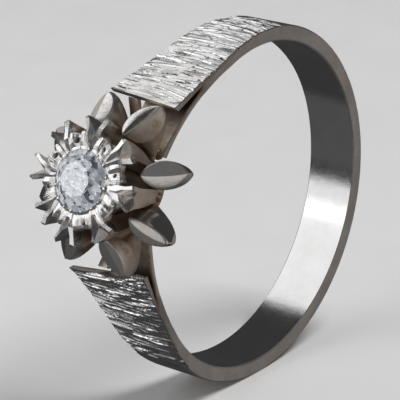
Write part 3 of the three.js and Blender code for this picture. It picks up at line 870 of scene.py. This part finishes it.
def star_plate():
    """The illusion plate as a polar sheet: rugged lobes with a drilled pit in each, and deep cuts
    along the claws' lines. Also the painted shade in each pit."""
    rings = []
    painted_shade = []
    rng = random.Random(5)
    bearings = [bearing_of(f"claw_{k + 1}") for k in range(SIDES)]
    for k in range(SIDES):
        start, stop = bearings[k], bearings[(k + 1) % SIDES]
        if stop < start:
            stop += TURN
        pit_at, pit_reach, pit_radius = LOBE_PITS[k]
        tilt = rng.uniform(-0.12, 0.12)
        peaks = [rng.uniform(0.22, 0.36), rng.uniform(0.64, 0.78)]
        notch = mix(peaks[0], peaks[1], rng.uniform(0.4, 0.6))
        teeth = [(0.0, -0.30), (peaks[0], 0.05), (notch, -0.08), (peaks[1], 0.06), (1.0, -0.30)]
        facets = [(0.0, -0.16), (peaks[0] - 0.08, 0.0), (peaks[0] + 0.05, 0.05), (notch, -0.09),
                  (peaks[1] - 0.04, 0.055), (peaks[1] + 0.09, 0.0), (1.0, -0.16)]
        for i in range(LOBE_COLUMNS):
            t = i / LOBE_COLUMNS
            turn = mix(start, stop, t)
            lobe = LOBE_REACH + along_line(teeth, t)
            relief = along_line(facets, t) + tilt * (t - 0.5)
            scratch = rng.uniform(-LOBE_SCRATCH, LOBE_SCRATCH)
            top = []
            for j in range(LOBE_ROWS + 1):
                u = j / LOBE_ROWS
                reach = mix(STAR_HOLE, lobe, u)
                height = along_line(LOBE_PROFILE, u) + (relief + scratch) * share(u, 0.05, 0.6)
                across = (t - pit_at) * (stop - start) * reach
                from_pit = math.hypot(across, reach - pit_reach) / pit_radius
                sunk = 1 - ease(share(from_pit, 0.55, 1.1))
                height -= LOBE_PIT_DEPTH * sunk + LOBE_EDGE_FALL * share(u, 0.95, 1.0)
                top.append(on_head(height, reach, 0, turn))
                # painted shade in the pit
                painted_shade.append(sunk)
            under = [(lobe - 0.03, STAR_BOTTOM + 0.1), (lobe - 0.12, STAR_BOTTOM), (STAR_HOLE, STAR_BOTTOM)]
            rings.append(top + [on_head(height, reach, 0, turn) for reach, height in under])
            painted_shade += [0.0] * len(under)
    rings.append(rings[0])
    painted_shade += painted_shade[:len(rings[0])]
    return skin(rings, start_cap=False, end_cap=False), painted_shade


def grain_beads():
    """Beads raised from the plate over the stone's edge, at each claw's line and smaller ones between."""
    rng = random.Random(17)
    parts = []
    for k in range(SIDES):
        main = bearing_of(f"claw_{k + 1}")
        for shift, size in GRAIN_BEADS:
            bearing = main + (shift + rng.uniform(-0.05, 0.05)) * TURN / SIDES
            reach = STONE_RADIUS - 0.02 + rng.uniform(-0.03, 0.02)
            grow = size * rng.uniform(0.85, 1.15)
            centre = on_head(GIRDLE_HEIGHT + 0.045 + 0.3 * grow, reach, 0, bearing)
            parts.append(blob(centre, (grow, grow, grow * 0.8), 100 * k + int(shift * 100), 0.08))
    return join(*parts)


def shoulder_strut(shoulder):
    """A short bar with softened edges from the base ring to the plate's free end."""
    tip_reach = plate_radius(PLATE_TIP) * math.sin(PLATE_TIP - shoulder["slant"])
    rings = []
    for t in steps(0, 1, 0.1):
        reach = mix(BASE_RADIUS - 0.05, tip_reach, t)
        top = mix(BASE_TOP - 0.02, STRUT_TIP_TOP, t) + 0.03 * math.sin(math.pi * t)
        shift = mix(STRUT_ROOT_SHIFT, shoulder["strut_shift"], t)
        ring = []
        for corner in range(16):
            turn = TURN * corner / 16
            x, z = math.cos(turn), math.sin(turn)
            square = max(abs(x), abs(z)) ** -STRUT_SQUARENESS
            y = shift + STRUT_HALF_WIDTH * x * square * STRUT_FIT
            height = top - STRUT_DEPTH / 2 + STRUT_DEPTH / 2 * z * square * STRUT_FIT
            ring.append((shoulder["direction"] * reach, y, height))
        rings.append(ring)
    return skin(rings)


def solder_fillets():
    """Beads of solder where claws, petals and rails meet the base ring, and three burnished ones on
    the lower plate's near front corner."""
    rng = random.Random(41)
    parts = []
    for k in range(SIDES):
        for name, (reach, size) in FOOT_BEADS.items():
            bearing = bearing_of(f"{name}_{k + 1}")
            grow = size * rng.uniform(0.85, 1.25)
            centre = on_head(BASE_TOP + rng.uniform(-0.1, 0.08), reach, rng.uniform(-0.08, 0.08), bearing)
            parts.append(blob(centre, (grow, grow, grow * 1.1), rng.randint(0, 999), 0.16))
    for shoulder in (UPPER, LOWER):
        for y in RAIL_BEAD_PLACES:
            angle = shoulder["direction"] * (RAIL_END + 0.6 * DEGREE)
            centre = on_hoop(angle, FINGER_RADIUS + 0.3, y + rng.uniform(-0.15, 0.15))
            parts.append(blob(centre, RAIL_BEAD_RADII, rng.randint(0, 999), 0.16))
    bright = 1
    for y, size in CORNER_BEADS:
        angle = LOWER["direction"] * PLATE_TIP - LOWER["slant"] * y / abs(CORNER_BEADS[0][0])
        centre = on_hoop(angle, plate_radius(PLATE_TIP) - 0.1, y)
        points, faces, _ = blob(centre, (size, size, size), rng.randint(0, 999), 0.14)
        parts.append((points, faces, [bright] * len(faces)))
    return join(*parts)


def brilliant():
    """A round brilliant: table, 32 crown facets, a faceted girdle and 24 pavilion facets."""
    size = 2 * STONE_RADIUS
    girdle_top = GIRDLE_HEIGHT + GIRDLE_THICKNESS
    table = girdle_top + CROWN_HEIGHT * size
    culet = GIRDLE_HEIGHT - PAVILION_DEPTH * size
    star = mix(table, girdle_top, 0.5)

    def circle(count, reach, height, turn):
        return [on_head(height, reach, 0, (i + turn) * TURN / count) for i in range(count)]

    points = circle(8, STONE_RADIUS * TABLE_REACH, table, 0)
    points += circle(8, STONE_RADIUS * STAR_REACH, star, 0.5)
    points += circle(16, STONE_RADIUS, girdle_top, 0) + circle(16, STONE_RADIUS, GIRDLE_HEIGHT, 0)
    points += circle(8, STONE_RADIUS * LOWER_REACH, mix(GIRDLE_HEIGHT, culet, LOWER_DEPTH), 0.5)
    points += [on_head(culet, 0, 0, 0)]
    first_star, first_upper, first_lower, first_main, culet_point = 8, 16, 32, 48, 56
    faces = [tuple(range(8))]
    for i in range(8):
        after, before = (i + 1) % 8, (i + 7) % 8
        girdle, mid, follow = 2 * i, 2 * i + 1, (2 * i + 2) % 16
        faces.append((i, after, first_star + i))
        faces.append((i, first_star + i, first_upper + girdle, first_star + before))
        faces.append((first_star + i, first_upper + girdle, first_upper + mid))
        faces.append((first_star + i, first_upper + mid, first_upper + follow))
        for a, b in ((girdle, mid), (mid, follow)):
            faces.append((first_upper + a, first_lower + a, first_lower + b, first_upper + b))
        faces.append((first_lower + girdle, first_main + i, first_lower + mid))
        faces.append((first_lower + mid, first_main + i, first_lower + follow))
        faces.append((first_lower + girdle, first_main + before, culet_point, first_main + i))
    table_face, crown_facets = 0, 1
    return points, faces, [table_face] + [crown_facets] * (len(faces) - 1)


# ---------------- the ring's pieces
def build_ring():
    band, band_painted_shade = hoop()
    add_piece("shank", band, [SATIN, BURNISHED, FINGER_FACE], ["shank_hoop"],
              painted_shade=band_painted_shade)
    for shoulder in (UPPER, LOWER):
        name = shoulder["name"]
        part, painted_shade = shoulder_plate(shoulder)
        add_piece(f"bark_plate_{name}", part, [SATIN, BARK], [f"shoulder_plate_{name}"],
                  sharp=24 * DEGREE, painted_shade=painted_shade)
        add_piece(f"strut_{name}", shoulder_strut(shoulder), [SATIN],
                  [f"shoulder_strut_{name}"], sharp=35 * DEGREE)
    add_piece("base_collar", base_ring(), [SATIN], ["base_ring"], weld=True, sharp=35 * DEGREE)
    add_piece("solder", solder_fillets(), [SOLDER, BURNISHED], sharp=60 * DEGREE)
    add_piece("seat", stone_seat(), [SATIN], ["stone_seat"], weld=True, sharp=30 * DEGREE)
    plate, plate_painted_shade = star_plate()
    add_piece("illusion_plate", plate, [BRIGHT_CUT], ["star_plate"], weld=True,
              painted_shade=plate_painted_shade)
    add_piece("grain_beads", grain_beads(), [POLISHED], sharp=60 * DEGREE)
    rng = random.Random(2)
    for k in range(SIDES):
        node = f"claw_{k + 1}"
        add_piece(f"fishtail_{k + 1}", claw(bearing_of(node), rng), [BRIGHT_CUT, CLAW_HULL],
                  [node], weld=True)
    for k in range(SIDES):
        node = f"petal_{k + 1}"
        cut, belly = PETAL_CUTS[k + 1]
        steepness = SHALLOW_STEEPNESS if k + 1 == SHALLOW_FACET else 1.0
        part = petal(bearing_of(node), cut, belly, k + 1 == POLISHED_SHOULDER, steepness)
        add_piece(f"leaf_{k + 1}", part, [PETAL_FACE, SATIN, POLISHED, BURNISHED], [node],
                  weld=True)
    add_piece("brilliant", brilliant(), [TABLE, CROWN], ["diamond"], sharp=0)


# ---------------- studio
def floor():
    """A pale sheet under the ring's rim. It doesn't show in the metal or block the lights below it."""
    low = cad_box[0][2]
    size, cells = 3.0, 8
    mesh = bpy.data.meshes.new("floor")
    points = [(mix(-size, size, i / cells), mix(-size, size, j / cells), low)
              for j in range(cells + 1) for i in range(cells + 1)]
    faces = [(j * (cells + 1) + i, j * (cells + 1) + i + 1, (j + 1) * (cells + 1) + i + 1,
              (j + 1) * (cells + 1) + i) for j in range(cells) for i in range(cells)]
    mesh.from_pydata(points, [], faces)
    n = Nodes("pale_floor")
    n.feed("Base Color", n.colours(n.noise(0.02, 3), (0.80, 0.80, 0.80, 1), (0.84, 0.835, 0.83, 1)))
    n.feed("Roughness", n.spread(n.noise(0.3, 2), 0.3, 0.7, 0.6, 0.75))
    mesh.materials.append(n.material)
    sheet = bpy.data.objects.new("floor", mesh)
    bpy.context.scene.collection.objects.link(sheet)
    sheet.visible_glossy = False
    sheet.visible_transmission = False
    sheet.visible_shadow = False
    sheet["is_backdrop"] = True


def softbox(name, direction, size_mm, radiance, tint=(1, 1, 1), distance_mm=300, lit=None):
    """An area light that faces the ring, with its brightness given as radiance. lit names the only
    objects it falls on, much as flags and cards shade the rest in a studio."""
    light = bpy.data.lights.new(name, "AREA")
    light.shape = "RECTANGLE"
    light.size, light.size_y = size_mm[0] * MM, size_mm[1] * MM
    light.energy = radiance * math.pi * light.size * light.size_y
    light.color = tint
    lamp = bpy.data.objects.new(name, light)
    bpy.context.scene.collection.objects.link(lamp)
    towards = Vector(direction).normalized()
    lamp.location = towards * distance_mm * MM
    lamp.rotation_euler = towards.to_track_quat("Z", "Y").to_euler()
    lamp.visible_camera = False
    if lit:
        receivers = bpy.data.collections.new(f"{name}_lights")
        for obj in lit:
            receivers.objects.link(obj)
        lamp.light_linking.receiver_collection = receivers


def studio():
    world = bpy.data.worlds.new("studio")
    world.use_nodes = True
    background = world.node_tree.nodes["Background"]
    background.inputs["Color"].default_value = (0.95, 0.95, 1.0, 1)
    background.inputs["Strength"].default_value = 0.045
    bpy.context.scene.world = world
    bpy.context.scene.view_settings.view_transform = "Standard"
    meshes = [obj for obj in bpy.context.scene.objects if obj.type == "MESH"]
    sheet = [obj for obj in meshes if obj.name == "floor"]
    bark = [obj for obj in meshes if obj.name.startswith("bark_plate")]
    but_band = [obj for obj in meshes if obj.name not in ("floor", "shank")]
    softbox("key_left_back", (-0.515, 0.574, 0.636), (300, 330), 1.05, (0.97, 0.985, 1.0))
    softbox("left_panel", (-0.811, 0.574, 0.114), (170, 120), 0.95, (0.97, 0.985, 1.0))
    softbox("left_front", (-0.95, -0.06, 0.28), (210, 170), 0.75, (1.0, 0.99, 0.98))
    softbox("back_left", (-0.40, 0.90, 0.12), (170, 170), 0.6, (1.0, 0.99, 0.98))
    softbox("back", (0.20, 0.91, 0.36), (150, 150), 0.4, (1.0, 0.97, 0.94))
    softbox("top_back", (0.43, 0.57, 0.70), (150, 150), 0.85, lit=but_band)
    softbox("low_back", (-0.38, 0.74, -0.56), (170, 170), 0.6, lit=bark)
    softbox("front_low", (-0.74, -0.65, 0.06), (170, 130), 0.5, (1.0, 0.97, 0.94), distance_mm=420)
    softbox("top_front", (-0.40, -0.33, 0.86), (130, 130), 0.1, (0.94, 0.97, 1.0))
    softbox("low_left", (-0.60, 0.56, -0.57), (260, 220), 0.045)
    softbox("low_front", (-0.78, -0.14, -0.61), (220, 220), 0.08)
    softbox("front_fill", (0.24, -0.94, 0.16), (300, 300), 0.3, (1.0, 0.92, 0.84))
    softbox("fill_right", (0.74, -0.57, -0.34), (420, 420), 0.155, (1.0, 0.95, 0.91))
    softbox("floor_wash", (0.2, -0.35, 0.92), (300, 300), 8.5, distance_mm=600, lit=sheet)


def camera():
    """Looks at the ring from its front left, a little above, as a product photograph does."""
    azimuth, elevation, distance = -52.4 * DEGREE, 20.0 * DEGREE, 98.0 * MM
    target = Vector((-3.27, 0.0, 0.92)) * MM
    back = Vector((math.sin(azimuth) * math.cos(elevation), -math.cos(azimuth) * math.cos(elevation),
                   math.sin(elevation)))
    lens = bpy.data.cameras.new("camera")
    lens.lens, lens.sensor_width = 176.6, 36.0
    lens.clip_start, lens.clip_end = 0.005, 20.0
    eye = bpy.data.objects.new("camera", lens)
    bpy.context.scene.collection.objects.link(eye)
    eye.location = target + back * distance
    eye.rotation_euler = back.to_track_quat("Z", "Y").to_euler()
    bpy.context.scene.camera = eye


build_ring()
floor()
studio()
camera()

boxes = {"cad": cad_box, "visual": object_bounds()}
{name: [list(corner) for corner in box] for name, box in boxes.items()}
